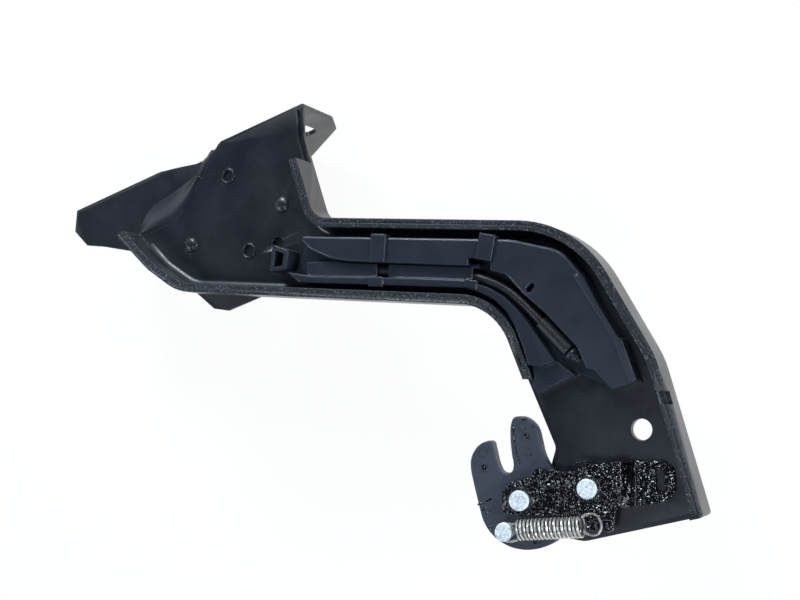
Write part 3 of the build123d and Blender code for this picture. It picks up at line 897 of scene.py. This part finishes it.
# %% [markdown]
# ## Ridges and beads of paint
#
# In a few places the paint ran, gathered and set in a raised line, and it piled up in a bead round each
# pin. The lines are thin round wires half sunk in the bracket. The bead is one ring, copied to the second
# pin. Its displacement reads the scene's own coordinates, so the two rings come out different.

# %% Ridges where the paint ran and set
ridges = [
    [(79.5, -67.8, 8.9), (85.2, -66.8, 9.3), (91.0, -69.4, 9.3), (96.6, -72.6, 8.9)],
    [(96.4, -74.5, 8.9), (94.0, -78.5, 9.2), (91.4, -83.2, 9.0)],
    [(74.2, -77.5, 9.0), (73.2, -80.5, 9.3), (72.6, -84.6, 9.0)],
    [(62.4, -79.8, 9.0), (63.4, -83.0, 9.3), (61.6, -86.8, 9.0)],
    [(89.6, -75.2, 9.0), (90.2, -78.2, 9.3), (88.4, -80.8, 9.0)],
]
ridge_radius = 0.55
for number, places in enumerate(ridges):
    ridge = wire_through("ridge_curve", places, ridge_radius, drawn_steps)
    settle(ridge, f"paint_ridge_{number + 1}", "gloss_coat", "arm")

# %% Beads of paint round the pins
beads = {"pivot_bead": (57.0, -82.8), "rivet_bead": (84.7, -77.4)}
bead_height = 9.0
bead_reach, bead_radius = 0.0047, 0.0008
bead_fold, bead_relief = 0.002, 0.0006
deselect()
bpy.ops.mesh.primitive_torus_add(
    major_radius=bead_reach, minor_radius=bead_radius, major_segments=96, minor_segments=16
)
bead_places = [on_arm(*place, bead_height) for place in beads.values()]
for name, bead in zip(beads, repeat(bpy.context.object, bead_places)):
    roughen(bead, name, bead_fold, bead_relief, coordinates="GLOBAL")
    settle(bead, name, "gloss_coat", "arm")

# %% [markdown]
# ## Pin heads
#
# Each pin ends in a flat zinc plated disc with a softly broken edge. A cylinder's upper face is inset and
# raised a fraction of a millimetre, twice, and the last edge is bevelled. A plain bevel would give one
# even slope, while these small steps give the edge a highlight of its own.

# %% Model the pin heads
# Name, place, height of the base, radius and thickness in millimetres, and body of each head.
head_places = [
    ("pivot_head", (56.8, -82.9), 9.15, 4.05, 1.35, "arm"),
    ("rivet_head", (84.6, -77.4), 9.15, 3.75, 1.35, "arm"),
    ("spring_head", (51.4, -94.8), 12.0, 3.4, 1.35, "claw"),
]
edge_width, edge_rise = 0.0003, 0.00022
face_width, face_rise = 0.0006, 0.00004
edge_round = 0.00012
for name, place, base, radius, thick, body in head_places:
    deselect()
    bpy.ops.mesh.primitive_cylinder_add(
        vertices=64,
        radius=radius / 1000,
        depth=thick / 1000,
        location=on_arm(*place, base + thick / 2),
    )
    head = bpy.context.object
    open_top(head)
    bpy.ops.mesh.inset(thickness=edge_width)
    bpy.ops.transform.translate(value=(0, 0, edge_rise))
    bpy.ops.mesh.inset(thickness=face_width)
    bpy.ops.transform.translate(value=(0, 0, face_rise))
    bpy.ops.mesh.bevel(offset=edge_round, segments=2, affect="EDGES")
    bpy.ops.object.mode_set(mode="OBJECT")
    settle(head, name, "zinc", body)

# %% [markdown]
# ## The spring
#
# A coil could be made with the Screw modifier, but the hooks at its two ends leave the helix sideways. One
# smooth curve that carries hook, coils and hook is simpler, and its bevel gives the wire. One end stays
# with the arm while the other goes with the claw, so the spring is attached to neither body.

# %% Lead the wire through hook, coils and hook
wire_radius, wire_steps = 0.5, 2
coil_count, turn_steps = 17, 16
coil_height = 10.8
coil_radius = 3.85
coil_from, coil_to = Vector((56.9, -94.3)), Vector((83.2, -92.0))
left_hook = [
    (56.4, -98.2, 10.8), (53.5, -99.3, 10.8), (50.2, -98.6, 10.8), (48.2, -95.9, 10.9),
    (49.2, -92.9, 11.0), (52.2, -91.9, 10.9), (55.4, -92.3, 10.8),
]
right_hook = [
    (83.0, -88.4, 11.6), (84.2, -87.0, 11.6), (87.6, -86.7, 11.5), (89.3, -87.5, 11.4),
    (90.5, -89.8, 11.2), (90.6, -92.6, 11.0), (89.4, -94.4, 10.9), (87.6, -95.0, 10.8),
    (84.6, -94.7, 10.8), (83.4, -93.6, 10.9),
]
run = (coil_to - coil_from).normalized()
side = Vector((-run.y, run.x))
wire_points = list(left_hook)
for step in range(coil_count * turn_steps + 1):
    angle = 2 * pi * step / turn_steps
    centre = coil_from.lerp(coil_to, step / (coil_count * turn_steps))
    reach = coil_radius * cos(angle)
    height = coil_height + coil_radius * sin(angle)
    wire_points.append((centre.x + side.x * reach, centre.y + side.y * reach, height))
wire_points += right_hook
print("wire", len(wire_points), "points")

# %% Wind the spring
spring = wire_through("spring_curve", wire_points, wire_radius, wire_steps)
settle(spring, "wound_spring", "spring_steel", None)
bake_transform(spring)
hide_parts("claw_spring")

# %% [markdown]
# ## The spring's tongue
#
# The spring's loop hangs on a small painted tongue of the bracket. It is a flat bar, so a block is
# brought to its size, its edges are bevelled, and subdivision and a little relief give it the same thick
# coat as the bracket.

# %% The tongue that the spring's loop holds
tongue_size = (0.0115, 0.0034, 0.0013)
tongue_turn = radians(2) - arm_turn
tongue_round = 0.0004
tongue_fold, tongue_relief = 0.0018, 0.0005
deselect()
bpy.ops.mesh.primitive_cube_add(size=1)
tongue = bpy.context.object
tongue.dimensions = tongue_size
tongue.rotation_euler = (0, 0, tongue_turn)
tongue.location = on_arm(89.6, -90.6, 9.9)
take(tongue)
bpy.ops.object.transform_apply(location=True, rotation=True, scale=True)
apply_modifier(tongue, "BEVEL", width=tongue_round, segments=2)
apply_modifier(tongue, "SUBSURF", levels=3, render_levels=3)
roughen(tongue, "tongue_paint", tongue_fold, tongue_relief)
settle(tongue, "spring_tongue", "gloss_coat", "arm")
